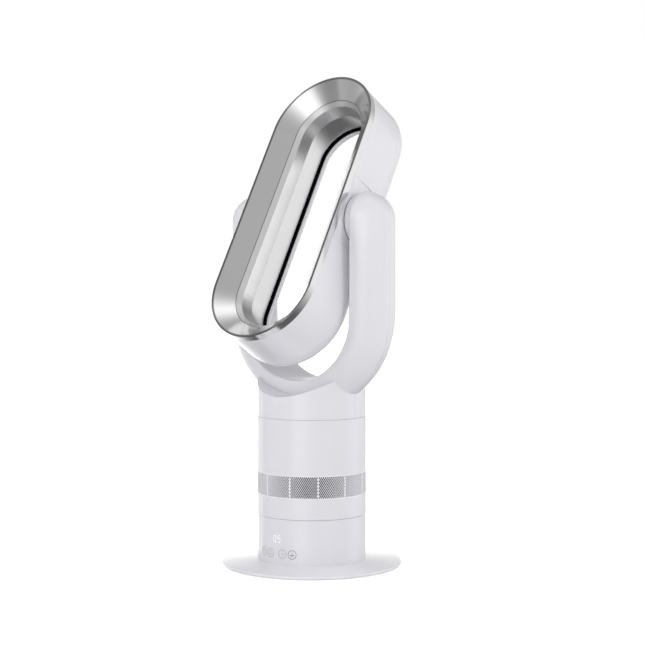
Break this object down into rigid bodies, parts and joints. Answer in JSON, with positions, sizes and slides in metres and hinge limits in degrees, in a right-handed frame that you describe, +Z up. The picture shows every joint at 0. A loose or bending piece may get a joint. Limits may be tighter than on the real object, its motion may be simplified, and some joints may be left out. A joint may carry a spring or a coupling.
{
  "type": "bladeless fan",
  "caption": "Bladeless fan: round column with an intake grille on a thin disc base, U-shaped yoke and a tall oval air loop that tilts, on a base that swivels.",
  "frame": {"origin": "on the floor under the column's axis, in the plane of the feet's undersides", "axes": "+Z up, -Y towards the controls (the front), +X to the right seen from the front; the loop's pivot axis runs along X"},
  "size_m": [0.2288, 0.2479, 0.5839],
  "materials": {
    "white_shell": "gloss",
    "grille_white": "satin",
    "bezel_metal": "brushed",
    "liner_silver": "metallic satin",
    "black_plastic": "matte",
    "inner_plastic": "matte",
    "steel": "satin",
    "rubber": "matte",
    "circuit_board": "satin",
    "lit_white": "lit from behind",
    "nylon": "matte",
    "filter_mesh": "matte",
    "felt": "matte"
  },
  "bodies": {
    "base": {"base_disc": "white_shell", "base_weight": "steel", "rubber_feet": "rubber", "base_screws": "steel", "control_housing": "white_shell", "display_light_guide": "lit_white", "display_module": "black_plastic", "control_board": "circuit_board", "touch_electrodes": "steel", "power_board": "circuit_board", "cord_gland": "rubber", "bearing_plate": "inner_plastic", "bearing_screws": "steel", "slide_ring": "nylon", "oscillation_motor": "steel"},
    "pinion": {"oscillation_pinion": "nylon"},
    "turret": {"turntable": "inner_plastic", "oscillation_gear": "nylon", "hub_clip": "steel", "lower_body_shell": "white_shell", "turntable_screws": "steel", "intake_grille": "grille_white", "intake_filter": "filter_mesh", "upper_body_shell": "white_shell", "driver_board": "circuit_board", "intake_shroud": "inner_plastic", "diffuser": "inner_plastic", "fan_motor": "steel", "motor_cap": "inner_plastic", "damper_ring": "rubber", "collar_ring": "inner_plastic", "yoke_front_shell": "white_shell", "yoke_rear_shell": "white_shell", "yoke_screws": "steel", "pivot_boss_left": "white_shell", "pivot_boss_right": "white_shell", "pivot_bush_left": "nylon", "pivot_bush_right": "nylon"},
    "impeller": {"impeller": "inner_plastic", "motor_shaft": "steel", "impeller_nut": "steel"},
    "head": {"head_shell": "white_shell", "front_bezel": "bezel_metal", "nozzle_liner": "liner_silver", "outlet_guide": "black_plastic", "slot_spacers": "black_plastic", "liner_screws": "steel", "trunnion_left": "inner_plastic", "trunnion_right": "inner_plastic", "trunnion_clip_left": "steel", "trunnion_clip_right": "steel", "pivot_seal_left": "felt", "pivot_seal_right": "felt"}
  },
  "joints": [
    {"name": "oscillation", "type": "hinge", "parent": "base", "child": "turret", "pos_m": [0, 0, 0.06], "axis": [0, 0, 1], "range_deg": [-40, 40]},
    {"name": "pinion_spin", "type": "hinge", "parent": "base", "child": "pinion", "pos_m": [0.0376, 0, 0.05], "axis": [0, 0, 1], "range_deg": [-170, 170]},
    {"name": "impeller_spin", "type": "hinge", "parent": "turret", "child": "impeller", "pos_m": [0, 0, 0.13], "axis": [0, 0, 1], "continuous": true},
    {"name": "head_tilt", "type": "hinge", "parent": "turret", "child": "head", "pos_m": [0, 0, 0.4077], "axis": [1, 0, 0], "range_deg": [-60, 60]}
  ],
  "couplings": [
    {"joint": "pinion_spin", "follows": "oscillation", "ratio": -4}
  ]
}
